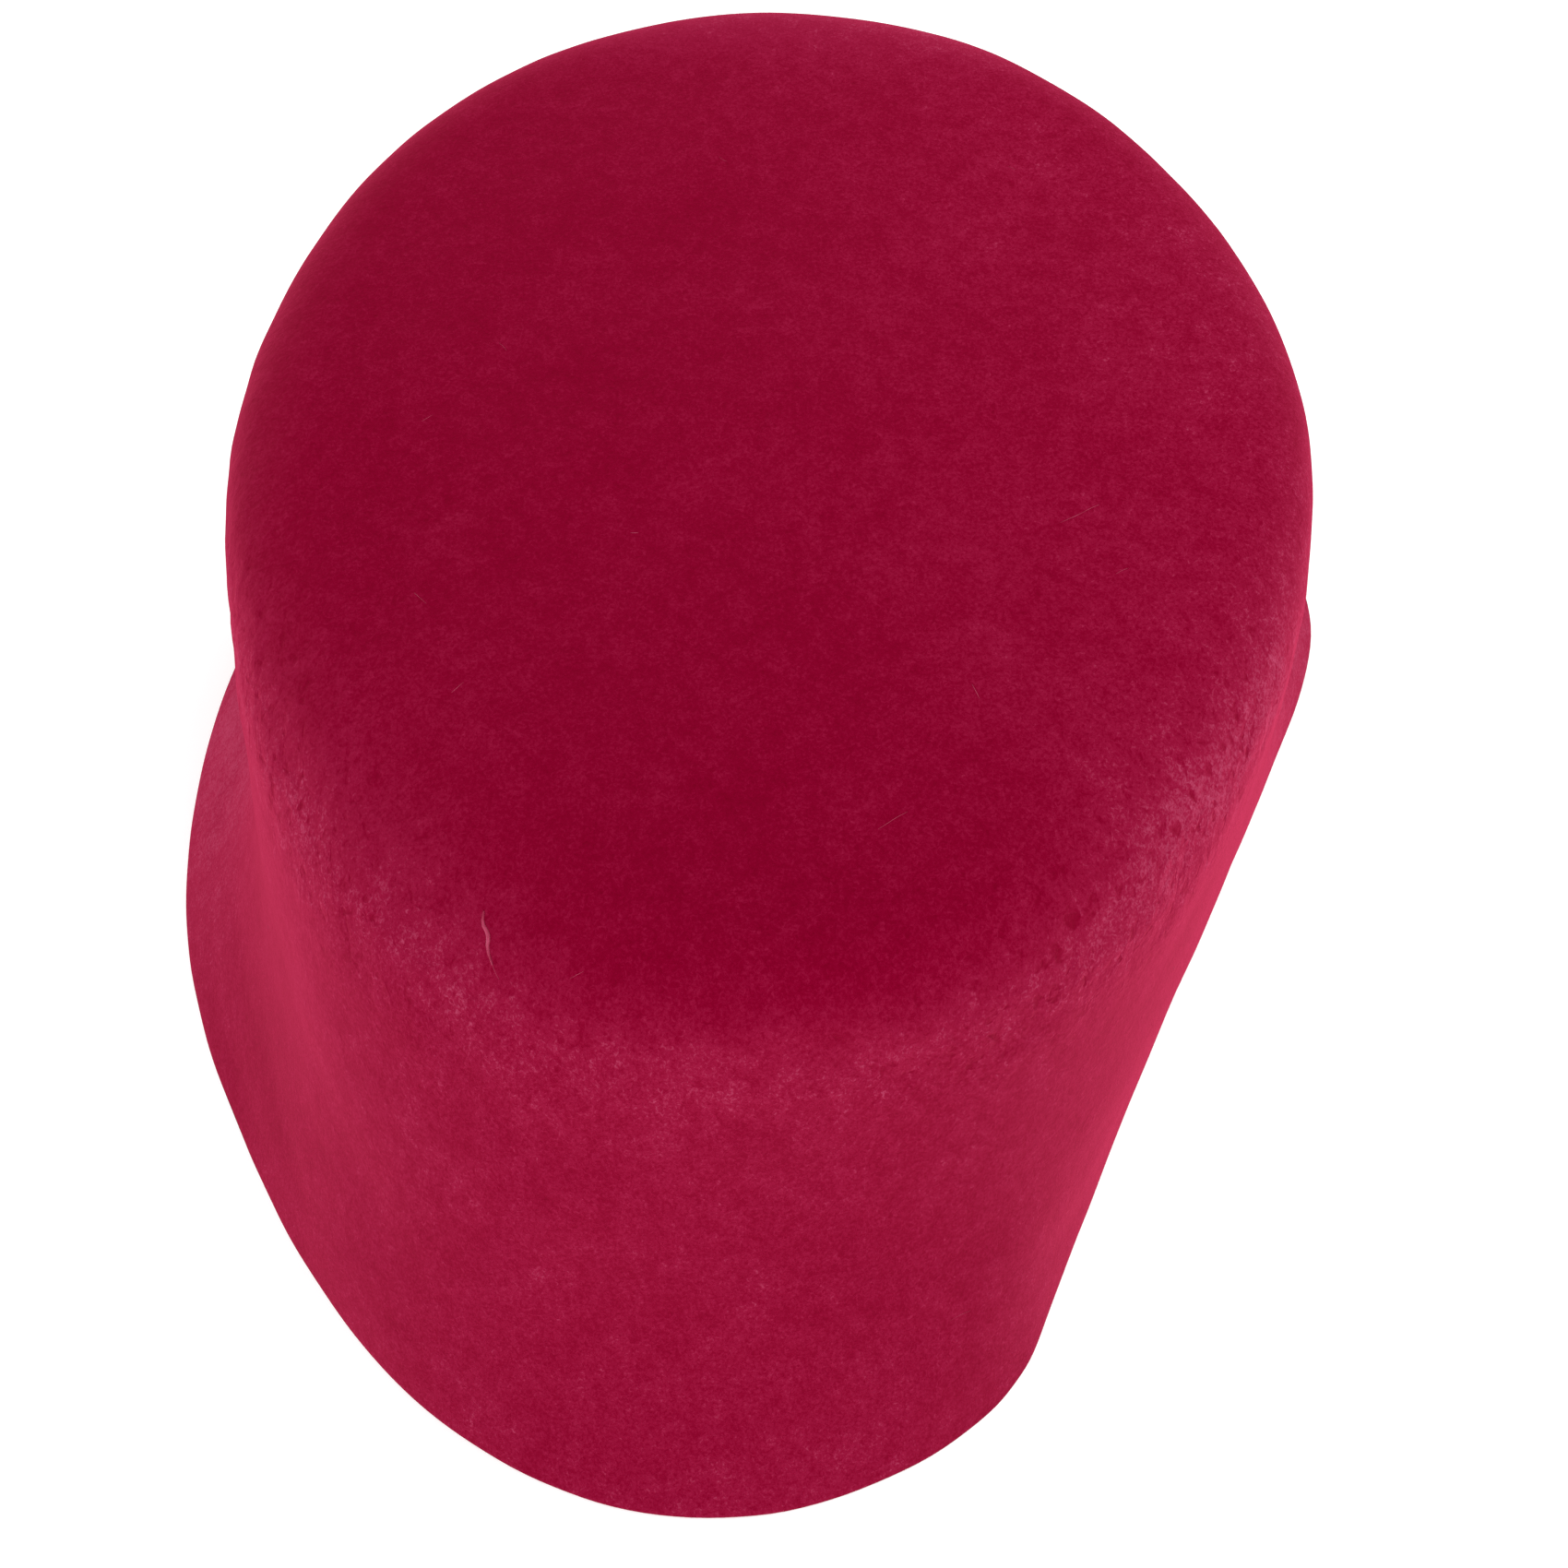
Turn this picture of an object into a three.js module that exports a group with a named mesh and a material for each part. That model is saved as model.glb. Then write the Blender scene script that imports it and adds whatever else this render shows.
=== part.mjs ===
// Felt bucket hat
//
// One wall of blocked wool felt, with no seam, band or lining: a flat oval tip, a softly
// rounded edge, a wall that runs down from it, and a short turned-down brim. The hat stands on
// its rim as it does on a table, and it is open below, where the head goes in.
//
// Lengths are millimetres. +Z is up, the front of the hat is on -Y, and the origin is the
// middle of the hat's box at the height of the surface that it stands on.

import * as THREE from 'three';

// Driving dimensions

// The felt's thickness, the same all over the hat.
const feltThickness = 2.4;

// The oval of the tip, out to the corner that the rounded edge cuts off. A squareness of 2 is
// a true ellipse, and a little more fills out its four shoulders.
const tipHalfWidth = 83.5;
const tipHalfLength = 96;
const ovalSquareness = 2.05;

// Heights above the surface: the top of the tip, and the foot of the wall, where it breaks
// into the brim.
const crownHeight = 124;
const footHeight = 38;

// How far the foot of the wall and the rim of the brim stand out beyond the tip's oval, and
// how high a lifted stretch of rim is above the surface.
const footFlare = 10;
const brimReach = 36;
const rimLift = 6;

// The length of felt on each side of a corner that bends to round it: at the tip's edge, and
// at the break between wall and brim.
const edgeBend = 13;
const breakBend = 18;

// A bend takes no more than this share of the wall or of the brim that it lies on.
const mostEdgeShare = 0.55;
const mostBreakShare = 0.42;
const mostBrimShare = 0.85;

// The hat's sections, anticlockwise from its +X side: the back is at 90 degrees, and the front
// at 270. Each column but the first is a share of one driving dimension: foot of footHeight,
// flare of footFlare, reach of brimReach, lift of rimLift, edge of edgeBend and fold of
// breakBend. The brim is turned straight down from 300 to 340 degrees, where its reach is
// next to nothing, and stands out again from 20 degrees on. A soft fold runs down the wall to
// the rim at 245 degrees, and another at 295. The tip's edge has slumped into a long rounding
// at 230 degrees and at 315, and at 230 the wall flares from high up.
const sections = [
  { azimuth: 0, foot: 0.95, flare: 1.0, reach: 0.36, lift: 0.25, edge: 1.1, fold: 1.0 },
  { azimuth: 10, foot: 0.95, flare: 1.2, reach: 0.64, lift: 0.65, edge: 1.0, fold: 1.0 },
  { azimuth: 22, foot: 1.0, flare: 1.4, reach: 1.02, lift: 1.0, edge: 1.0, fold: 1.0 },
  { azimuth: 45, foot: 1.0, flare: 1.0, reach: 0.98, lift: 0.8, edge: 1.0, fold: 1.0 },
  { azimuth: 90, foot: 1.0, flare: 0.6, reach: 0.92, lift: 0, edge: 1.0, fold: 1.0 },
  { azimuth: 135, foot: 1.0, flare: 0.6, reach: 0.91, lift: 0.5, edge: 1.0, fold: 1.0 },
  { azimuth: 170, foot: 1.0, flare: 0.6, reach: 0.93, lift: 0, edge: 1.2, fold: 1.0 },
  { azimuth: 195, foot: 1.08, flare: 0.9, reach: 0.93, lift: 0, edge: 1.6, fold: 1.35 },
  { azimuth: 215, foot: 0.95, flare: 1.6, reach: 0.91, lift: 0, edge: 2.05, fold: 1.1 },
  { azimuth: 230, foot: 0.74, flare: 2.5, reach: 0.97, lift: 0, edge: 2.25, fold: 0.9 },
  { azimuth: 245, foot: 0.61, flare: 3.0, reach: 1.11, lift: 0, edge: 1.85, fold: 0.9 },
  { azimuth: 258, foot: 0.9, flare: 2.2, reach: 1.18, lift: 0, edge: 1.25, fold: 1.7 },
  { azimuth: 275, foot: 1.2, flare: 1.3, reach: 1.07, lift: 0, edge: 0.95, fold: 2.4 },
  { azimuth: 290, foot: 1.1, flare: 1.1, reach: 0.79, lift: 0, edge: 1.3, fold: 2.2 },
  { azimuth: 300, foot: 1.05, flare: 0.8, reach: 0.38, lift: 0, edge: 1.85, fold: 2.0 },
  { azimuth: 315, foot: 1.05, flare: 0.2, reach: 0.08, lift: 0, edge: 2.2, fold: 1.7 },
  { azimuth: 340, foot: 0.95, flare: 0.3, reach: 0.07, lift: 0, edge: 1.65, fold: 1.1 },
];

// How finely the curved felt is divided into flat facets: steps round the hat, and steps down
// a section along the tip, its edge, the wall, the break and the brim.
const stepsAround = 80;
const stepsDown = [4, 6, 3, 6, 3];

// The felt's colour and finish.
const feltColour = 0x9b1237;
const feltRoughness = 0.95;

const fullTurn = 360;

// The distance from the tip's middle to its oval.
function ovalRadius(azimuth) {
  const angle = THREE.MathUtils.degToRad(azimuth);
  const across = Math.abs(Math.cos(angle) / tipHalfWidth) ** ovalSquareness;
  const along = Math.abs(Math.sin(angle) / tipHalfLength) ** ovalSquareness;
  return (across + along) ** (-1 / ovalSquareness);
}

// A smooth closed curve through the rows of the table. The rows next to the start and the end
// are repeated a turn away, so that the curve closes without a kink.
const columns = ['foot', 'flare', 'reach', 'lift', 'edge', 'fold'];
function makeSectionCurve() {
  const turned = (row, turn) => ({ ...row, azimuth: row.azimuth + turn });
  const before = sections.slice(-1).map((row) => turned(row, -fullTurn));
  const after = sections.slice(0, 2).map((row) => turned(row, fullTurn));
  const rows = [...before, ...sections, ...after];
  const azimuths = rows.map((row) => row.azimuth);
  const shares = rows.flatMap((row) => columns.map((column) => row[column]));
  return new THREE.CubicInterpolant(azimuths, shares, columns.length);
}
const sectionCurve = makeSectionCurve();

// The outline of one section of the hat's outer face, from the middle of the tip to the rim.
// Its x runs out from the middle of the hat, and its y runs up.
function sectionPath(azimuth) {
  const [foot, flare, reach, lift, edge, fold] = sectionCurve.evaluate(azimuth);
  const oval = ovalRadius(azimuth);
  const corner = new THREE.Vector2(oval, crownHeight);
  const wallFoot = new THREE.Vector2(oval + flare * footFlare, foot * footHeight);
  const rim = new THREE.Vector2(oval + reach * brimReach, Math.max(lift, 0) * rimLift);

  const wallLength = corner.distanceTo(wallFoot);
  const brimLength = wallFoot.distanceTo(rim);
  const cornerBend = Math.min(edge * edgeBend, mostEdgeShare * wallLength);
  const bendAbove = Math.min(fold * breakBend, mostBreakShare * wallLength);
  const bendBelow = Math.min(fold * breakBend, mostBrimShare * brimLength);
  const wallTop = corner.clone().lerp(wallFoot, cornerBend / wallLength);
  const wallEnd = wallFoot.clone().lerp(corner, bendAbove / wallLength);
  const brimStart = wallFoot.clone().lerp(rim, bendBelow / brimLength);

  const path = new THREE.Path();
  path.moveTo(0, crownHeight);
  path.lineTo(oval - cornerBend, crownHeight);
  path.quadraticCurveTo(corner.x, corner.y, wallTop.x, wallTop.y);
  path.lineTo(wallEnd.x, wallEnd.y);
  path.quadraticCurveTo(wallFoot.x, wallFoot.y, brimStart.x, brimStart.y);
  path.lineTo(rim.x, rim.y);
  return path;
}

// The points of one section below the middle of the tip, placed round the hat.
function sectionPoints(azimuth) {
  const angle = THREE.MathUtils.degToRad(azimuth);
  const outward = new THREE.Vector3(Math.cos(angle), Math.sin(angle), 0);
  const path = sectionPath(azimuth);
  const points = [];
  path.curves.forEach((curve, stretch) => {
    for (let step = 1; step <= stepsDown[stretch]; step += 1) {
      const point = curve.getPoint(step / stepsDown[stretch]);
      points.push(outward.clone().multiplyScalar(point.x).setZ(point.y));
    }
  });
  return points;
}

// The triangles of a face: a fan round the middle of the tip, then rows of pairs down to the
// rim. The middle of the tip is point 0, and each section's points follow in turn.
const pointsDown = stepsDown.reduce((sum, steps) => sum + steps, 0);
const pointAt = (around, down) => 1 + (around % stepsAround) * pointsDown + down;
function faceTriangles() {
  const triangles = [];
  for (let around = 0; around < stepsAround; around += 1) {
    triangles.push(0, pointAt(around, 0), pointAt(around + 1, 0));
    for (let down = 0; down < pointsDown - 1; down += 1) {
      const here = pointAt(around, down);
      const beside = pointAt(around + 1, down);
      const below = pointAt(around, down + 1);
      const across = pointAt(around + 1, down + 1);
      triangles.push(here, below, beside);
      triangles.push(beside, below, across);
    }
  }
  return triangles;
}

// The outer face of the felt, open at the rim, with the direction that each point faces.
function outerFace() {
  const points = [new THREE.Vector3(0, 0, crownHeight)];
  for (let around = 0; around < stepsAround; around += 1) {
    points.push(...sectionPoints((around / stepsAround) * fullTurn));
  }
  const face = new THREE.BufferGeometry().setFromPoints(points);
  face.setIndex(faceTriangles());
  face.computeVertexNormals();
  return face;
}

// The inner face: each point lies one thickness behind the outer face. The rim is the
// exception, because it is flat where it rests: its inner edge lies level with its outer one.
function innerPoints(outer) {
  const positions = outer.getAttribute('position');
  const normals = outer.getAttribute('normal');
  const points = [];
  for (let index = 0; index < positions.count; index += 1) {
    const point = new THREE.Vector3().fromBufferAttribute(positions, index);
    const facing = new THREE.Vector3().fromBufferAttribute(normals, index);
    const isRim = index > 0 && index % pointsDown === 0;
    if (isRim) {
      facing.setZ(0);
      facing.divideScalar(facing.lengthSq());
    }
    points.push(point.addScaledVector(facing, -feltThickness));
  }
  return points;
}

// The closed wall of felt: outer face, inner face turned the other way, and the cut edge that
// joins them along the rim.
function feltWall() {
  const outer = outerFace();
  const outerCoordinates = Array.from(outer.getAttribute('position').array);
  const innerCoordinates = innerPoints(outer).flatMap((point) => point.toArray());
  const innerStart = outer.getAttribute('position').count;

  const outerTriangles = faceTriangles();
  const innerTriangles = faceTriangles().reverse().map((index) => index + innerStart);
  const edgeTriangles = [];
  for (let around = 0; around < stepsAround; around += 1) {
    const outerHere = pointAt(around, pointsDown - 1);
    const outerNext = pointAt(around + 1, pointsDown - 1);
    const innerHere = outerHere + innerStart;
    const innerNext = outerNext + innerStart;
    edgeTriangles.push(outerHere, innerHere, outerNext);
    edgeTriangles.push(outerNext, innerHere, innerNext);
  }

  const wall = new THREE.BufferGeometry();
  const coordinates = [...outerCoordinates, ...innerCoordinates];
  wall.setAttribute('position', new THREE.Float32BufferAttribute(coordinates, 3));
  wall.setIndex([...outerTriangles, ...innerTriangles, ...edgeTriangles]);
  return wall;
}

// Moves a geometry so that the middle of its box is over the origin and its lowest point at 0.
function standOnOrigin(geometry) {
  geometry.computeBoundingBox();
  const middle = geometry.boundingBox.getCenter(new THREE.Vector3());
  geometry.translate(-middle.x, -middle.y, -geometry.boundingBox.min.z);
  geometry.computeVertexNormals();
  return geometry;
}

function makeFeltBody() {
  const felt = new THREE.MeshStandardMaterial({
    color: feltColour,
    roughness: feltRoughness,
    metalness: 0,
  });
  const body = new THREE.Mesh(standOnOrigin(feltWall()), felt);
  body.name = 'felt_body';
  return body;
}

const hat = new THREE.Group();
hat.add(makeFeltBody());

export default hat;
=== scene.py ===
# %% [markdown]
# # A felt bucket hat
#
# This lesson dresses a finished hat shape in wool felt. The hat is one piece of felt that was
# steamed and pressed over a block: a flat oval tip, a softly rounded edge, a wall, and a short
# brim that is turned down to the table. The exact shape was made beforehand and is only loaded
# here. Blender adds what the eye needs: softer corners, the lumps and crinkles of worn felt,
# its nap, its colour and its light.

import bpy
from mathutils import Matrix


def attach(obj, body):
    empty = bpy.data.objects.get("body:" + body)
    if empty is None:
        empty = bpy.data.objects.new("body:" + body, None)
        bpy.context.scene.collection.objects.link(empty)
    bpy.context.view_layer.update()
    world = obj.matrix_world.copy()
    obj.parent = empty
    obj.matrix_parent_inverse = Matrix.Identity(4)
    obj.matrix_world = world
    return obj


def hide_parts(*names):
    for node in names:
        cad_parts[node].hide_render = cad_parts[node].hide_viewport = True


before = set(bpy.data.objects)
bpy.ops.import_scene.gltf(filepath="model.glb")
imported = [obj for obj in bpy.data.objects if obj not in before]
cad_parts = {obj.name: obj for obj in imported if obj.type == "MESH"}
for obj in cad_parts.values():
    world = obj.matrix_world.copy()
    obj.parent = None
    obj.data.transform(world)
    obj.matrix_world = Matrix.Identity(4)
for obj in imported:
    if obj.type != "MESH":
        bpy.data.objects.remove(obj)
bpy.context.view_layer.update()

# %% [markdown]
# ## The camera
#
# The photograph looks down on the hat from the front at about 60 degrees, from close by, so
# the tip looks larger than the brim. A 50 mm lens on a 36 mm sensor gives that. The camera's
# place was worked out from the outline: the middle of the tip shows at a known pixel of the
# square picture, at a known distance. Placing a camera by one point that it sees is easier to
# correct than placing it by three coordinates, so that is the way used here.

# %% Place the camera by the pixel that shows the middle of the tip
import math

import bpy
from mathutils import Vector

PICTURE_WIDTH = 1700
LENS_MM = 50
SENSOR_MM = 36
CAMERA_ELEVATION = math.radians(60.3)
NEAREST_SEEN = 0.01
TIP_MIDDLE = Vector((0.002, 0.00403, 0.124))
TIP_PIXEL = (834, 455)
TIP_DISTANCE = 0.331

pixels_per_unit = PICTURE_WIDTH * LENS_MM / SENSOR_MM
view_forward = Vector((0, math.cos(CAMERA_ELEVATION), -math.sin(CAMERA_ELEVATION)))
view_right = Vector((1, 0, 0))
view_down = view_forward.cross(view_right)


def sight_line(pixel):
    """The way from the camera to what a pixel shows, for one metre straight ahead."""
    across = (pixel[0] - PICTURE_WIDTH / 2) / pixels_per_unit
    down = (pixel[1] - PICTURE_WIDTH / 2) / pixels_per_unit
    return view_forward + across * view_right + down * view_down


camera_data = bpy.data.cameras.new("studio_camera")
camera_data.lens = LENS_MM
camera_data.sensor_width = SENSOR_MM
camera_data.clip_start = NEAREST_SEEN
camera = bpy.data.objects.new("studio_camera", camera_data)
camera.location = TIP_MIDDLE - TIP_DISTANCE * sight_line(TIP_PIXEL)
camera.rotation_euler = (math.pi / 2 - CAMERA_ELEVATION, 0, 0)
bpy.context.scene.collection.objects.link(camera)
bpy.context.scene.camera = camera
print("camera at", [round(v, 3) for v in camera.location])

# %% [markdown]
# ## A mesh that can be softened
#
# The loaded hat is a shell of loose flat triangles, which is right for measuring and wrong for
# softening. A copy is merged into one skin and its triangles are paired into quads, because a
# subdivision surface flows evenly over quads. The long quads of the tip and the wall are
# halved, so that small lumps have points to move. The cut edge of the felt is the only real
# corner of the hat. It gets a narrow bevel, which keeps it in place when the rest goes smooth.

# %% Merge, pair and refine a copy of the hat
import bmesh

MERGE_DISTANCE = 1e-5
PAIRING_ANGLE = math.radians(50)
LONG_EDGE = 0.0112
SHARP_CORNER = math.radians(40)
CUT_EDGE_BEVEL = 0.0006

felt_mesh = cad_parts["felt_body"].data.copy()
felt_mesh.name = "felt_hat"
felt_mesh.materials.clear()
bm = bmesh.new()
bm.from_mesh(felt_mesh)
bmesh.ops.remove_doubles(bm, verts=bm.verts, dist=MERGE_DISTANCE)
bmesh.ops.join_triangles(
    bm,
    faces=bm.faces,
    angle_face_threshold=PAIRING_ANGLE,
    angle_shape_threshold=PAIRING_ANGLE,
)
long_edges = [edge for edge in bm.edges if edge.calc_length() > LONG_EDGE]
bmesh.ops.subdivide_edges(bm, edges=long_edges, cuts=1, use_grid_fill=True)
cut_edges = [edge for edge in bm.edges if edge.calc_face_angle(0) > SHARP_CORNER]
bmesh.ops.bevel(
    bm,
    geom=cut_edges,
    offset=CUT_EDGE_BEVEL,
    affect="EDGES",
    segments=2,
    profile=0.5,
    material=-1,
)
for face in bm.faces:
    face.smooth = True
bm.to_mesh(felt_mesh)
bm.free()
triangles_left = sum(len(face.vertices) == 3 for face in felt_mesh.polygons)
print("felt skin:", len(felt_mesh.polygons), "faces, of which triangles:", triangles_left)
print("cut edges:", len(cut_edges))

# %% [markdown]
# ## The soft skin
#
# On the real hat the felt bends smoothly everywhere. A Subdivision Surface modifier turns the
# facets into such a smooth skin. Sculpting it smooth would also do, but not the same way every
# time. The modifier is applied at once, because the lumps of the next steps are moves of its
# points, and a live modifier would smooth them away again.

# %% Smooth the skin
SMOOTHING_LEVELS = 2

felt_hat = bpy.data.objects.new("felt_hat", felt_mesh)
bpy.context.scene.collection.objects.link(felt_hat)
smoothing = felt_hat.modifiers.new("soft_skin", "SUBSURF")
smoothing.levels = SMOOTHING_LEVELS
smoothing.render_levels = SMOOTHING_LEVELS
evaluated_hat = felt_hat.evaluated_get(bpy.context.evaluated_depsgraph_get())
smooth_mesh = bpy.data.meshes.new_from_object(evaluated_hat)
felt_hat.modifiers.clear()
felt_hat.data = smooth_mesh
smooth_mesh.name = "felt_hat"
print("smooth skin:", len(smooth_mesh.polygons), "faces")

# %% [markdown]
# ## Saying where on the hat
#
# Wear, loose nap and painted light each belong to a stretch of the hat, so the next steps need
# a few ways to say where something is. They could be painted by hand on the mesh. Rules that
# take a point's place are used instead, because they are easy to read and to change. A
# direction round the hat is in degrees: 0 is the right, 90 the back, 180 the left and 270 the
# front. Heights and lengths are in metres.

# %% Write the rules for bands and patches
def smooth_step(value, start, end):
    """0 before the start, 1 after the end, and a soft rise between them."""
    share = min(max((value - start) / (end - start), 0), 1)
    return share * share * (3 - 2 * share)


def band(value, middle, half_width):
    """1 at the middle of a band, falling to 0 at its sides."""
    return 1 - smooth_step(abs(value - middle), 0, half_width)


def turn_from(point, direction):
    """The angle round the hat between a point and a direction."""
    azimuth = math.degrees(math.atan2(point.y, point.x))
    return abs((azimuth - direction + 180) % 360 - 180)


def sum_of_patches(point, patches):
    """What the patches add here. Each is (direction, height, reach round, reach up, amount)."""
    return sum(
        amount * band(turn_from(point, direction), 0, round_reach) * band(point.z, height, up_reach)
        for direction, height, round_reach, up_reach, amount in patches
    )


print("a point on the right is turned", turn_from(Vector((1, 0, 0)), 270), "from the front")

# %% [markdown]
# ## Wear
#
# Hands and shelves crinkle felt where it stands out most. On this hat that is the rounded edge
# of the tip, most of all at the front right and the left. This rule gives the amount, and both
# the small lumps and the pits follow it. The pits darken the colour, which is painted shade in
# their hollows.

# %% Say how crinkled the felt is
EDGE_HEIGHT = 0.106
WORN_REACH = 0.026
WORN_EVERYWHERE = 0.25
# The direction of each worn stretch, its reach round the hat, and how worn it is.
WORN_RIGHT_FRONT = (312, 50, 1.0)
WORN_LEFT = (205, 75, 0.6)


def wear(point):
    """How crinkled the felt is here, from 0 to 1."""
    worn = WORN_EVERYWHERE
    for direction, reach, amount in (WORN_RIGHT_FRONT, WORN_LEFT):
        worn += amount * band(turn_from(point, direction), 0, reach)
    return band(point.z, EDGE_HEIGHT, WORN_REACH) * min(1, worn)


print("wear at the middle of the front edge:", round(wear(Vector((0, -0.09, EDGE_HEIGHT))), 2))

# %% [markdown]
# ## Loose nap, painted sheen and painted shade
#
# Pressing lays the nap of felt flat, and flat nap looks even. Rubbing lifts it again, and
# lifted nap looks rougher, with strokes of fibre. The tip was pressed hardest. On the tip the
# nap is least loose at the left and most at the right, the wall is between the two, and the
# edge is loosest. Looseness also lightens the colour, which is painted light: the tip's right
# is painted lighter than its left, and the wall lighter than the tip. The second rule paints
# sheen into the colour: paler, pinker places where the wall turns out into the brim at the
# left and the right, along the tip's edge and at its back. On two strips of the wall its
# amount is less than 0, which is painted shade.

# %% Say how loose the nap is, and where sheen and shade are painted
LOOSE_REACH = 0.022
# Looseness also lightens the colour as painted light: the wall more than the tip, and the tip's
# right more than its left.
LOOSE_AND_LIT_WALL = 0.5
LOOSE_AND_LIT_TIP_LEFT = 0.02
LOOSE_AND_LIT_TIP_RIGHT = 0.6
LOOSE_ON_EDGE = 0.3
# Painted sheen along the tip's edge and at its back, where the felt is seen edge on.
PAINTED_SHEEN_ON_EDGE = 0.15
PAINTED_SHEEN_AT_BACK = 0.5
PAINTED_SHEEN_EDGE_BAND = (0.112, 0.014)
# Where each of these begins and where it is full: heights, and distances from the middle.
TIP_HEIGHTS = (0.1, 0.122)
RIGHT_OF_TIP = (-0.02, 0.09)
BACK_OF_EDGE = (0.074, 0.094)
BACK_HEIGHTS = (0.1, 0.12)
# Patches of painted light: those with amounts above 0 are painted sheen, and the two below 0 are
# painted shade.
PAINTED_SHEEN_AND_SHADE_PATCHES = (
    (168, 0.02, 44, 0.052, 0.75),
    (200, 0.092, 34, 0.03, 0.25),
    (226, 0.115, 48, 0.018, 0.2),
    (20, 0.012, 50, 0.055, 0.55),
    (332, 0.1, 30, 0.03, 0.12),
    (316, 0.114, 46, 0.018, 0.25),
    (268, 0.0, 85, 0.045, 0.1),
    (317, 0.06, 18, 0.045, -0.28),
    (216, 0.03, 24, 0.05, -0.22),
)


def looseness_and_painted_light(point):
    """How loose the nap is here, from 0 to about 1. It also lightens the colour as painted light.
    """
    on_top = smooth_step(point.z, *TIP_HEIGHTS)
    # The looser side of the tip is the right, and a little of the back. There the colour is painted
    # lighter, as that side is lit more.
    to_the_right = smooth_step(0.9 * point.x + 0.2 * point.y, *RIGHT_OF_TIP)
    on_tip = LOOSE_AND_LIT_TIP_LEFT + (LOOSE_AND_LIT_TIP_RIGHT - LOOSE_AND_LIT_TIP_LEFT) * to_the_right
    around_edge = band(point.z, EDGE_HEIGHT, LOOSE_REACH)
    return LOOSE_AND_LIT_WALL + (on_tip - LOOSE_AND_LIT_WALL) * on_top + LOOSE_ON_EDGE * around_edge


def sheen_and_shade_painted_here(point):
    """How much sheen is painted into the colour here. Below 0 it is painted shade."""
    sheen_along_edge = PAINTED_SHEEN_ON_EDGE * band(point.z, *PAINTED_SHEEN_EDGE_BAND)
    sheen_at_back = smooth_step(point.y, *BACK_OF_EDGE) * smooth_step(point.z, *BACK_HEIGHTS)
    return sheen_along_edge + PAINTED_SHEEN_AT_BACK * sheen_at_back + sum_of_patches(point, PAINTED_SHEEN_AND_SHADE_PATCHES)


for name, x in (("left", -0.07), ("right", 0.07)):
    print("looseness at the", name, "of the tip:", round(looseness_and_painted_light(Vector((x, 0, 0.124))), 2))

# %% [markdown]
# ## Lumps, crinkles and swells
#
# Felt that has been worn is never as even as its block. The tip has sprung up a little in its
# middle, off the flat top of the block, and the wall has relaxed outwards in three soft
# swells. Slow waves run all over, lumps lie along the rounded edge of the tip with small
# crinkles on its worn stretches, and short ripples lie near the rim. Cloth simulation could
# make such forms too, but not in these places. Smooth noise puts each kind where it belongs.

# %% Say how far the felt is pushed in or out
from mathutils import noise

TIP_SPRING = 0.0022
TIP_HALF_WIDTH = 0.0835
TIP_HALF_LENGTH = 0.096
SPRUNG_HEIGHTS = (0.104, 0.119)
SWELLS_BEGIN = (0.045, 0.085)
SWELLS = (
    (2, 0.075, 42, 0.11, 0.0009),
    (176, 0.105, 36, 0.06, 0.0007),
    (234, 0.004, 22, 0.04, 0.0010),
)
# The width of each kind of relief, and how far it goes in or out.
RELIEF = {
    "waves": (0.034, 0.0006),
    "lumps": (0.013, 0.0005),
    "crinkles": (0.0055, 0.0003),
    "rim_ripples": (0.016, 0.0003),
}
LUMPS_EVERYWHERE = 0.3
RIM_BAND = (0.012, 0.022)


def relief(point, kind):
    """Smooth noise of one kind. The shift gives every kind a noise of its own."""
    width, depth = RELIEF[kind]
    shift = 1 + list(RELIEF).index(kind)
    return depth * noise.noise(point / width + Vector((shift, 2.3 * shift, 3.1 * shift)))


def tip_spring(point):
    """How far the tip has sprung up here."""
    off_the_middle = math.hypot(point.x / TIP_HALF_WIDTH, point.y / TIP_HALF_LENGTH)
    on_top = smooth_step(point.z, *SPRUNG_HEIGHTS)
    return TIP_SPRING * max(0, 1 - off_the_middle * off_the_middle) * on_top


def swell(point):
    """How far the felt has relaxed outwards here. The middle of the tip stays as it is."""
    off_the_middle = smooth_step(math.hypot(point.x, point.y), *SWELLS_BEGIN)
    return off_the_middle * sum_of_patches(point, SWELLS)


def unevenness(point):
    """How far the felt stands out here, in metres."""
    worn_here = wear(point)
    push = relief(point, "waves")
    push += (LUMPS_EVERYWHERE + worn_here) * relief(point, "lumps")
    push += worn_here * relief(point, "crinkles")
    push += band(point.z, *RIM_BAND) * relief(point, "rim_ripples")
    return push + swell(point) + tip_spring(point)


print("kinds of relief:", list(RELIEF))

# %% [markdown]
# ## Pushing the felt
#
# Each point of the outer face moves along its own facing. The inner face looks the other way,
# so its points move against their facing by the same amount, and the felt keeps its
# thickness. Nothing goes below the table. The rules for wear, nap and painted sheen and shade
# are noted on the mesh as attributes, which the material reads. They take the place of masks
# painted by hand.

# %% Push the felt, and note where it is worn, loose, and painted with sheen and shade
# The push turns over where the felt faces sideways, as it does along the cut edge.
SIDEWAYS = 0.2

pushed = []
for vertex in smooth_mesh.vertices:
    faces_away = vertex.normal.dot(vertex.co.normalized())
    outward = smooth_step(faces_away, -SIDEWAYS, SIDEWAYS) * 2 - 1
    moved = vertex.co + vertex.normal * outward * unevenness(vertex.co)
    moved.z = max(moved.z, 0)
    pushed.append(moved)
largest_push = max((a - b.co).length for a, b in zip(pushed, smooth_mesh.vertices))

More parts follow.
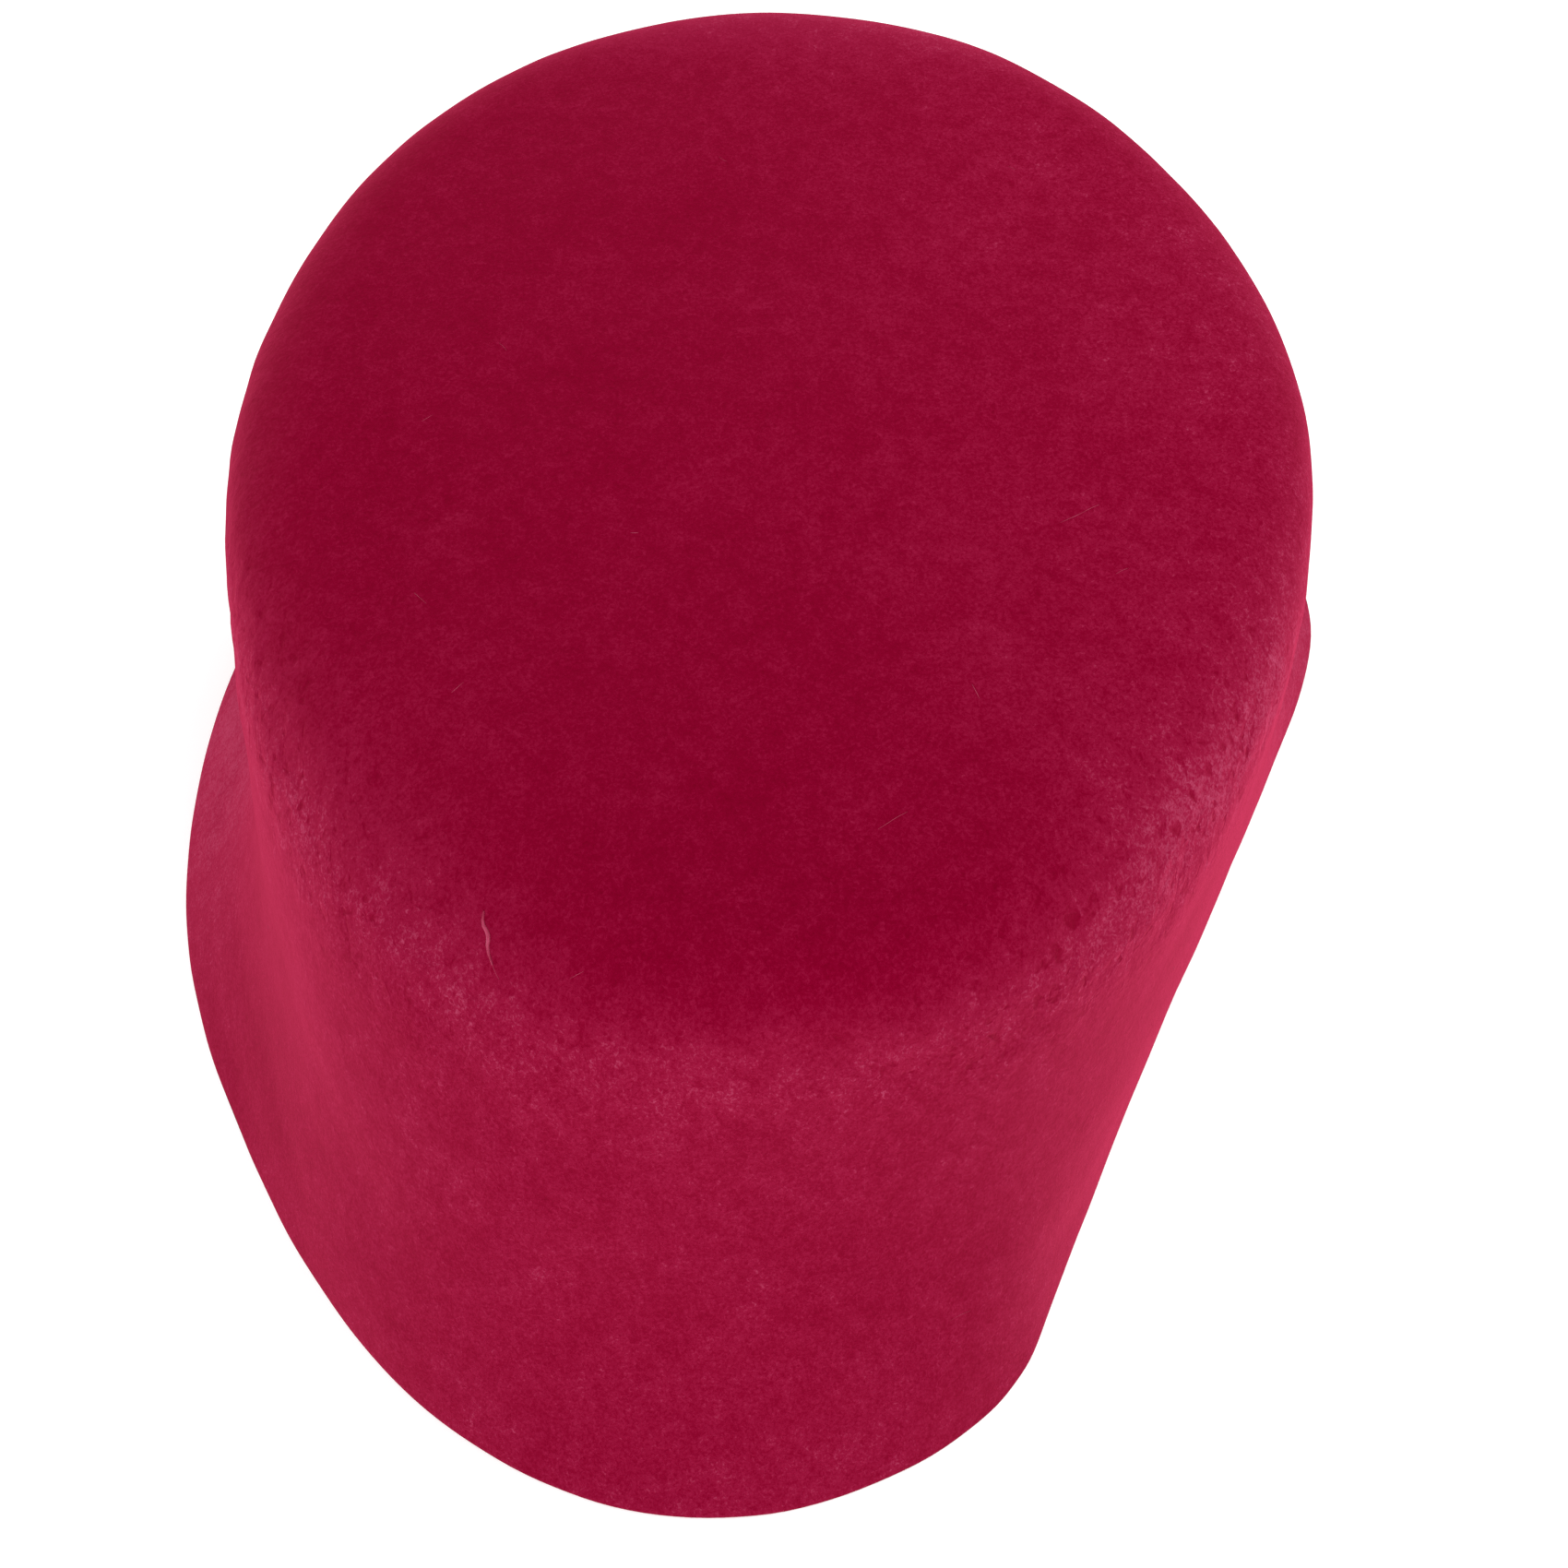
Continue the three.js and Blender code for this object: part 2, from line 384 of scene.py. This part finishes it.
# The looseness note also lightens the colour as painted light, and the third note is painted sheen
# and shade.
for name, rule in (("worn", wear), ("loose", looseness_and_painted_light), ("painted_sheen_and_shade", sheen_and_shade_painted_here)):
    note = smooth_mesh.attributes.new(name, "FLOAT", "POINT")
    for vertex, value in zip(smooth_mesh.vertices, note.data):
        value.value = rule(vertex.co)
smooth_mesh.vertices.foreach_set("co", [value for point in pushed for value in point])
smooth_mesh.update()
print("largest push in mm:", round(1000 * largest_push, 2))

# %% [markdown]
# ## Wool felt
#
# The real finish is wool felt, dyed a deep crimson: matted wool fibres, pressed and steamed,
# with no weave. To the eye it is matt, with a fine grain, cloudy patches where the nap lies one
# way or the other, and a paler, pinker glow where it is seen edge on, because the light catches
# the fibre ends that stand out of it. Sheen in the Principled shader is made for that glow. The
# rest is noise of several widths and the notes on the mesh, all of it driving one colour ramp
# that runs from pressed felt to loose fuzz. That keeps the colours in one place, where they are
# easy to compare with the real ones. Some of that colour is painted light: extra sheen at the
# edges and the back, a lighter tip right and wall, and painted shade in the pits and on two
# strips of the wall.

# %% Write two small helpers for materials
MM = 0.001


def linear(hex_colour):
    """The linear RGBA of an sRGB hex colour."""
    channels = [int(hex_colour[i : i + 2], 16) / 255 for i in (1, 3, 5)]
    curved = [c / 12.92 if c <= 0.04045 else ((c + 0.055) / 1.055) ** 2.4 for c in channels]
    return (*curved, 1)


def add_node(tree, kind, inputs=None, **settings):
    """A node with its settings. An input, by name or number, gets a value or a link."""
    node = tree.nodes.new(kind)
    for name, value in settings.items():
        setattr(node, name, value)
    for name, value in (inputs or {}).items():
        if isinstance(value, bpy.types.NodeSocket):
            tree.links.new(value, node.inputs[name])
        else:
            node.inputs[name].default_value = value
    return node


print("mid grey in linear light:", round(linear("#808080")[0], 3))

# %% [markdown]
# ## The patterns of the felt
#
# Each pattern is a noise, as wide as the real thing in millimetres. The felt was pulled down
# over the block, which drew its fibres out along the wall, so all patterns are stretched in
# height. Single wool fibres are 0.03 mm thick, which is too fine to show, so the strokes are
# drawn several times as thick. The three notes on the mesh come in here too.

# %% Start the felt's material with its patterns
# A scale under 1 makes a pattern longer that way.
STRETCH_IN_HEIGHT = (1, 1, 0.6)

felt = bpy.data.materials.new("crimson wool felt")
felt.use_nodes = True
tree = felt.node_tree
tree.nodes.clear()
place = add_node(tree, "ShaderNodeTexCoord").outputs["Object"]
drawn_down = add_node(
    tree, "ShaderNodeMapping", {"Scale": STRETCH_IN_HEIGHT, "Vector": place}
).outputs["Vector"]

# The width of the lumps in mm, detail, roughness and distortion.
PATTERNS = {
    "clouds": (16, 2, 0.5, 0.0),
    "matting": (3.4, 4, 0.62, 0.5),
    "grain": (0.55, 3, 0.75, 0.8),
    "strokes": (1.3, 1, 0.5, 1.4),
    "crumple": (4.6, 2, 0.45, 0.6),
    "pits": (2.2, 2, 0.5, 0.5),
}
pattern = {}
for name, (width, detail, roughness, distortion) in PATTERNS.items():
    noise_inputs = {
        "Scale": 1 / (width * MM),
        "Detail": detail,
        "Roughness": roughness,
        "Distortion": distortion,
        "Vector": drawn_down,
    }
    pattern[name] = add_node(tree, "ShaderNodeTexNoise", noise_inputs).outputs["Fac"]
# The loose note lightens the colour as painted light too, and the third note paints sheen and shade
# into it.
worn, loose, painted_sheen_and_shade = (
    add_node(tree, "ShaderNodeAttribute", attribute_name=name).outputs["Fac"]
    for name in ("worn", "loose", "painted_sheen_and_shade")
)
print("felt patterns:", list(pattern))

# %% [markdown]
# ## Fibre strokes and pits
#
# Loose felt shows short strokes of fibre. They could be thousands of hairs, which would be
# slow and wouldn't export. Here a thin line runs wherever a noise passes its middle value, and
# only its stretches on the loosest matting are kept, so the lines break up into short strokes.
# The pits are the low spots of another noise, and show only where the felt is worn. They
# darken the colour, which is painted shade in their hollows.

# %% Turn two patterns into strokes and pits
NOISE_MIDDLE = 0.5
STROKE_WIDTH = 0.05

off_middle = add_node(
    tree, "ShaderNodeMath", {0: pattern["strokes"], 1: NOISE_MIDDLE}, operation="SUBTRACT"
).outputs["Value"]
off_middle = add_node(tree, "ShaderNodeMath", {0: off_middle}, operation="ABSOLUTE")

# What is ranged, from where, to where, and the value at each end.
RANGES = {
    "lines": (off_middle.outputs["Value"], 0.0, STROKE_WIDTH, 1, 0),
    "loose_matting": (pattern["matting"], 0.5, 0.62, 0, 1),
    "low_spots": (pattern["pits"], 0.3, 0.42, 1, 0),
}
ranged = {}
for name, (source, low, high, at_low, at_high) in RANGES.items():
    ends = {"From Min": low, "From Max": high, "To Min": at_low, "To Max": at_high}
    ranged[name] = add_node(
        tree, "ShaderNodeMapRange", {"Value": source, **ends}
    ).outputs["Result"]

strokes_here = add_node(
    tree,
    "ShaderNodeMath",
    {0: ranged["lines"], 1: ranged["loose_matting"]},
    operation="MULTIPLY",
).outputs["Value"]
fibre_strokes = add_node(
    tree, "ShaderNodeMath", {0: strokes_here, 1: loose}, operation="MULTIPLY"
).outputs["Value"]
# Pits darken the colour as painted shade in their hollows, and also dent the crumple bump.
worn_pits_with_painted_shade = add_node(
    tree, "ShaderNodeMath", {0: ranged["low_spots"], 1: worn}, operation="MULTIPLY"
).outputs["Value"]
print("ranges:", list(ranged))

# %% [markdown]
# ## The felt's colour
#
# One shade, from 0 to 1, picks the colour from the ramp. The mottling swings it up and down,
# more where the nap is loose and less where sheen is painted. Looseness lifts it as painted
# light, painted sheen lifts it and painted shade lowers it, and the pits lower it as painted
# shade in their hollows. Mixing several colours instead would make it harder to keep the dye
# the same.

# %% Add up the shade and turn it into colour
MIDDLE_SHADE = 0.32
# The share of each pattern. Half their sum is taken off, which leaves the mean at 0.
MOTTLING = {"clouds": 0.2, "matting": 0.45, "grain": 1.1}
# The paler stops are reached by loose fuzz and by painted sheen.
FELT_COLOURS = {0.05: "#630018", 0.35: "#6D001F", 0.65: "#7C0E2F", 1.0: "#9A3D59"}


def weighted_sum(start, parts):
    """A start, plus each part times its share, one step of arithmetic at a time."""
    for part, share in parts:
        start = add_node(
            tree, "ShaderNodeMath", {0: part, 1: share, 2: start}, operation="MULTIPLY_ADD"
        ).outputs["Value"]
    return start


mottling = weighted_sum(
    -sum(MOTTLING.values()) / 2, [(pattern[name], share) for name, share in MOTTLING.items()]
)
contrast = weighted_sum(1.0, [(loose, 0.35), (painted_sheen_and_shade, -0.65)])
# Looseness lifts the shade as painted light, the third note adds painted sheen and painted shade,
# and the pits darken it as painted shade.
shade = weighted_sum(
    MIDDLE_SHADE,
    [(mottling, contrast), (fibre_strokes, 0.05), (loose, 0.27), (painted_sheen_and_shade, 0.45), (worn_pits_with_painted_shade, -0.36)],
)
felt_colour = add_node(tree, "ShaderNodeValToRGB", {"Fac": shade})
stops = felt_colour.color_ramp.elements
while len(stops) < len(FELT_COLOURS):
    stops.new(0.5)
for stop, (position, colour) in zip(stops, FELT_COLOURS.items()):
    stop.position = position
    stop.color = linear(colour)
print("felt colours from pressed to fuzzy:", list(FELT_COLOURS.values()))

# %% [markdown]
# ## Nap, crumples and sheen
#
# The nap and the crumples of the worn edge are too fine to be worth points of the mesh, so two
# Bump nodes draw them, the nap first and the crumples over it. Felt has no gloss, because its
# fibres scatter the light every way: it is rough all through and has no mirror-like part. The
# tint of the sheen is the pink of single dyed fibres against the light.

# %% Give the felt its nap, its crumpled edge and its sheen
NAP_DEPTH = 0.45 * MM
CRUMPLE_DEPTH = 1.0 * MM

nap_height = weighted_sum(
    0.0, [(pattern["matting"], 0.5), (pattern["grain"], 0.3), (fibre_strokes, 0.1)]
)
nap_bump = add_node(
    tree, "ShaderNodeBump", {"Strength": 0.7, "Distance": NAP_DEPTH, "Height": nap_height}
)
crumpled = weighted_sum(0.0, [(pattern["crumple"], worn), (worn_pits_with_painted_shade, -0.12)])
crumple_bump = add_node(
    tree,
    "ShaderNodeBump",
    {
        "Strength": 0.8,
        "Distance": CRUMPLE_DEPTH,
        "Height": crumpled,
        "Normal": nap_bump.outputs["Normal"],
    },
)
surface = add_node(
    tree,
    "ShaderNodeBsdfPrincipled",
    {
        "Base Color": felt_colour.outputs["Color"],
        "Roughness": 0.95,
        "Specular IOR Level": 0.0,
        "Sheen Weight": 0.38,
        "Sheen Roughness": 0.45,
        "Sheen Tint": linear("#FF567F"),
        "Normal": crumple_bump.outputs["Normal"],
    },
)
add_node(tree, "ShaderNodeOutputMaterial", {"Surface": surface.outputs["BSDF"]})
smooth_mesh.materials.clear()
smooth_mesh.materials.append(felt)
print("felt material:", len(tree.nodes), "nodes")

# %% [markdown]
# ## Loose fibres
#
# A few single fibres have worked loose and lie on the felt: a straight pale one on the right of
# the tip, a matted crooked one over the front left edge, and shorter ones elsewhere. Hair
# particles would be the usual way, but the exported model loses them. Each fibre is a thin
# round curve here, thinner at both ends and turned into a mesh. The ones that the photograph
# shows are placed by looking from the camera through their pixels onto the felt.

# %% Find the felt under a pixel of the photograph
from mathutils.bvhtree import BVHTree

felt_tree = BVHTree.FromPolygons(
    [vertex.co for vertex in smooth_mesh.vertices],
    [face.vertices for face in smooth_mesh.polygons],
)


def felt_seen_at(pixel):
    """The point of the felt that a pixel shows, and the way the felt faces there."""
    point, facing, _, _ = felt_tree.ray_cast(camera.location, sight_line(pixel).normalized())
    return point, facing


print("felt at the tip's pixel, in mm:", [round(1000 * v) for v in felt_seen_at(TIP_PIXEL)[0]])

# %% [markdown]
# A real fibre is 0.03 mm thick, and the matted one is a clump of many. They are drawn thicker
# here, as they need to be to show. Each has its radius and the pixels that it passes.

# %% Set the course of each fibre that the photograph shows
HAIR_RADIUS = 0.05 * MM
MATTED_RADIUS = 0.3 * MM
SEEN_FIBRES = (
    (HAIR_RADIUS, ((1149, 567), (1160, 562), (1172, 557), (1182, 551), (1192, 547))),
    (MATTED_RADIUS, ((525, 988), (522, 1000), (529, 1010), (530, 1018), (528, 1029), (534, 1046))),
    (HAIR_RADIUS, ((533, 1044), (536, 1053), (541, 1062))),
    (HAIR_RADIUS, ((618, 1061), (625, 1057), (633, 1053))),
    (HAIR_RADIUS, ((1210, 622), (1217, 618), (1223, 616))),
    (HAIR_RADIUS, ((952, 899), (962, 893), (972, 886), (984, 880))),
    (HAIR_RADIUS, ((1030, 1432), (1040, 1425), (1052, 1421))),
    (HAIR_RADIUS, ((780, 170), (783, 174), (788, 175))),
    (HAIR_RADIUS, ((541, 372), (546, 375), (549, 380))),
)

fibre_courses = []
for radius, pixels in SEEN_FIBRES:
    fibre_courses.append((radius, [felt_seen_at(pixel) for pixel in pixels]))
print("fibres by pixel:", len(fibre_courses))

# %% [markdown]
# The hat is worn all round, so a few more fibres are scattered over the rest of it. Each is
# found by looking inwards from a few points in a row outside the hat. One that would land
# inside, or jump across a corner, is left out and another is tried. The random numbers are
# seeded, so the fibres are always the same ones.

# %% Scatter some more fibres
import random

SCATTERED_FIBRES = 24
SCATTERED_STEPS = 4
LONGEST_SCATTERED = 0.006
HAT_MIDDLE = Vector((0, 0, 0.07))
# The looks start within these heights and this far from the middle, across and along.
START_HEIGHTS = (0.01, 0.2)
START_ACROSS = 0.13
START_ALONG = 0.15
STEP_LENGTHS = (0.0004, 0.0011)
# A fibre is kept only where the felt faces the outside more squarely than this.
SQUARELY = -0.4

chance = random.Random(7)
while len(fibre_courses) < len(SEEN_FIBRES) + SCATTERED_FIBRES:
    height = chance.uniform(*START_HEIGHTS)
    across = chance.uniform(-START_ACROSS, START_ACROSS)
    along = chance.uniform(-START_ALONG, START_ALONG)
    start = Vector((across, along, height))
    heading = Vector((chance.uniform(-1, 1), chance.uniform(-1, 1), chance.uniform(-1, 1)))
    step = heading.normalized() * chance.uniform(*STEP_LENGTHS)
    inward = (HAT_MIDDLE - start).normalized()
    hits = [felt_tree.ray_cast(start + k * step, inward)[:2] for k in range(SCATTERED_STEPS)]
    outside = all(point and facing.dot(inward) < SQUARELY for point, facing in hits)
    if outside and (hits[0][0] - hits[-1][0]).length < LONGEST_SCATTERED:
        fibre_courses.append((HAIR_RADIUS, hits))
print("fibres in all:", len(fibre_courses))

# %% [markdown]
# Each fibre is a smooth curve with a round section. It lies a little sunk into the felt, as a
# fibre that is still held by the nap does, and it thins out towards its ends.

# %% Draw the fibres as curves
SUNK_SHARE = 0.65
END_THICKNESS = 0.35

fibre_curve = bpy.data.curves.new("stray_fibres", "CURVE")
fibre_curve.dimensions = "3D"
# With a depth of 1, the radius of a point is its radius in metres.
fibre_curve.bevel_depth = 1
fibre_curve.bevel_resolution = 0
fibre_curve.use_fill_caps = True
fibre_curve.resolution_u = 2
for radius, course in fibre_courses:
    spline = fibre_curve.splines.new("NURBS")
    spline.points.add(len(course) - 1)
    spline.order_u = 3
    spline.use_endpoint_u = True
    for number, (point, facing) in enumerate(course):
        along = number / (len(course) - 1)
        taper = END_THICKNESS + (1 - END_THICKNESS) * math.sin(math.pi * along)
        lifted = point + facing * radius * (1 - SUNK_SHARE)
        spline.points[number].co = (*lifted, 1)
        spline.points[number].radius = radius * taper
print("fibre curves:", len(fibre_curve.splines))

# %% [markdown]
# The export wants a closed mesh, so the curves are turned into one. The caps of a curve are
# faces of their own, and merging their doubles closes each fibre.

# %% Turn the curves into a closed mesh
FIBRE_MERGE_DISTANCE = 1e-6

drawing = bpy.data.objects.new("fibre_drawing", fibre_curve)
bpy.context.scene.collection.objects.link(drawing)
drawn = drawing.evaluated_get(bpy.context.evaluated_depsgraph_get())
fibre_mesh = bpy.data.meshes.new_from_object(drawn)
bpy.data.objects.remove(drawing)
fibre_mesh.name = "stray_fibres"

bm = bmesh.new()
bm.from_mesh(fibre_mesh)
bmesh.ops.remove_doubles(bm, verts=bm.verts, dist=FIBRE_MERGE_DISTANCE)
bmesh.ops.recalc_face_normals(bm, faces=bm.faces)
open_edges = sum(not edge.is_manifold for edge in bm.edges)
for face in bm.faces:
    face.smooth = True
bm.to_mesh(fibre_mesh)
bm.free()
stray_fibres = bpy.data.objects.new("stray_fibres", fibre_mesh)
bpy.context.scene.collection.objects.link(stray_fibres)
print("fibre faces:", len(fibre_mesh.polygons), "open edges:", open_edges)

# %% [markdown]
# ## Loose dyed wool
#
# The loose fibres are the same dyed wool, and look paler than the felt because light passes
# round and through a single fibre. Seeing through them would be slow to render and wouldn't
# show at this size. They get the felt's own kind of surface in a paler, plain pink, with
# slight changes of tone along them.

# %% Make the loose wool
TONE_WIDTH = 1.5 * MM
WOOL_COLOURS = {0.3: "#861C38", 0.7: "#A03C58"}

loose_wool = bpy.data.materials.new("loose dyed wool")
loose_wool.use_nodes = True
tree = loose_wool.node_tree
tree.nodes.clear()
place = add_node(tree, "ShaderNodeTexCoord").outputs["Object"]
tone = add_node(
    tree, "ShaderNodeTexNoise", {"Scale": 1 / TONE_WIDTH, "Detail": 1.0, "Vector": place}
).outputs["Fac"]
wool_colour = add_node(tree, "ShaderNodeValToRGB", {"Fac": tone})
for stop, (position, colour) in zip(wool_colour.color_ramp.elements, WOOL_COLOURS.items()):
    stop.position = position
    stop.color = linear(colour)
wool_surface = add_node(
    tree,
    "ShaderNodeBsdfPrincipled",
    {
        "Base Color": wool_colour.outputs["Color"],
        "Roughness": 0.9,
        "Specular IOR Level": 0.1,
        "Sheen Weight": 0.15,
        "Sheen Tint": linear("#FF88A4"),
    },
)
add_node(tree, "ShaderNodeOutputMaterial", {"Surface": wool_surface.outputs["BSDF"]})
fibre_mesh.materials.append(loose_wool)
print("loose wool:", len(tree.nodes), "nodes")

# %% [markdown]
# ## The table
#
# The hat stands on a plain table of opal white acrylic. The table is lit from below a little,
# as such tables are, to keep the ground white under the hat. A wide flat sheet that glows
# faintly does that. A strong lamp from above would whiten it too, but it would wash out the
# tip.

# %% Make the table
WHITE = "#FFFFFF"
TABLE_GLOW = 0.16
TABLE_HALF_WIDTH = 6.0

acrylic = bpy.data.materials.new("opal white acrylic")
acrylic.use_nodes = True
acrylic_inputs = acrylic.node_tree.nodes["Principled BSDF"].inputs
acrylic_inputs["Base Color"].default_value = linear("#F6F6F5")
acrylic_inputs["Roughness"].default_value = 0.9
acrylic_inputs["Specular IOR Level"].default_value = 0.1
acrylic_inputs["Emission Color"].default_value = linear(WHITE)
acrylic_inputs["Emission Strength"].default_value = TABLE_GLOW

table_mesh = bpy.data.meshes.new("table")
bm = bmesh.new()
bmesh.ops.create_grid(bm, x_segments=1, y_segments=1, size=TABLE_HALF_WIDTH)
bm.to_mesh(table_mesh)
bm.free()
table_mesh.materials.append(acrylic)
table = bpy.data.objects.new("table", table_mesh)
bpy.context.scene.collection.objects.link(table)
print("table:", 2 * TABLE_HALF_WIDTH, "m wide")

# %% [markdown]
# ## The light
#
# A white studio wraps the hat in even light, so most of it comes from the world. A large soft
# light stands low in front and a smaller one behind at the left, and they make the wall a
# little brighter than the tip. A small one hangs above the right of the tip, because there the
# tip is clearly lighter than at its left, and only a near light fades over so short a way. The
# picture is shown with the Standard view, because the photograph's white is plain white and
# its crimson is fully saturated, which a film-like view would wash out.

# %% Make the light
STUDIO_STRENGTH = 0.72
LIGHTS_AIM = Vector((0, 0, 0.06))
# Where each light stands, its width in metres and its power in watts.
LIGHTS = {
    "front_light": ((-0.2, -1.7, 0.5), 2.2, 42),
    "left_light": ((-1.3, 1.0, 0.6), 1.2, 11),
    "tip_light": ((0.28, 0.15, 0.5), 0.25, 1.6),
}

scene = bpy.context.scene
scene.view_settings.view_transform = "Standard"

world = bpy.data.worlds.new("white studio")
world.use_nodes = True
world_inputs = world.node_tree.nodes["Background"].inputs
world_inputs["Color"].default_value = linear(WHITE)
world_inputs["Strength"].default_value = STUDIO_STRENGTH
scene.world = world

for name, (location, width, power) in LIGHTS.items():
    light = bpy.data.lights.new(name, "AREA")
    light.size = width
    light.energy = power
    holder = bpy.data.objects.new(name, light)
    holder.location = location
    aim = LIGHTS_AIM - Vector(location)
    holder.rotation_euler = aim.to_track_quat("-Z", "Y").to_euler()
    scene.collection.objects.link(holder)
print("lights:", list(LIGHTS))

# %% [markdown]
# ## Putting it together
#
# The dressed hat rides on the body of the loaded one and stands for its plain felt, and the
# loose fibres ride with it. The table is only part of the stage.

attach(felt_hat, "root")
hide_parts("felt_body")
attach(stray_fibres, "root")
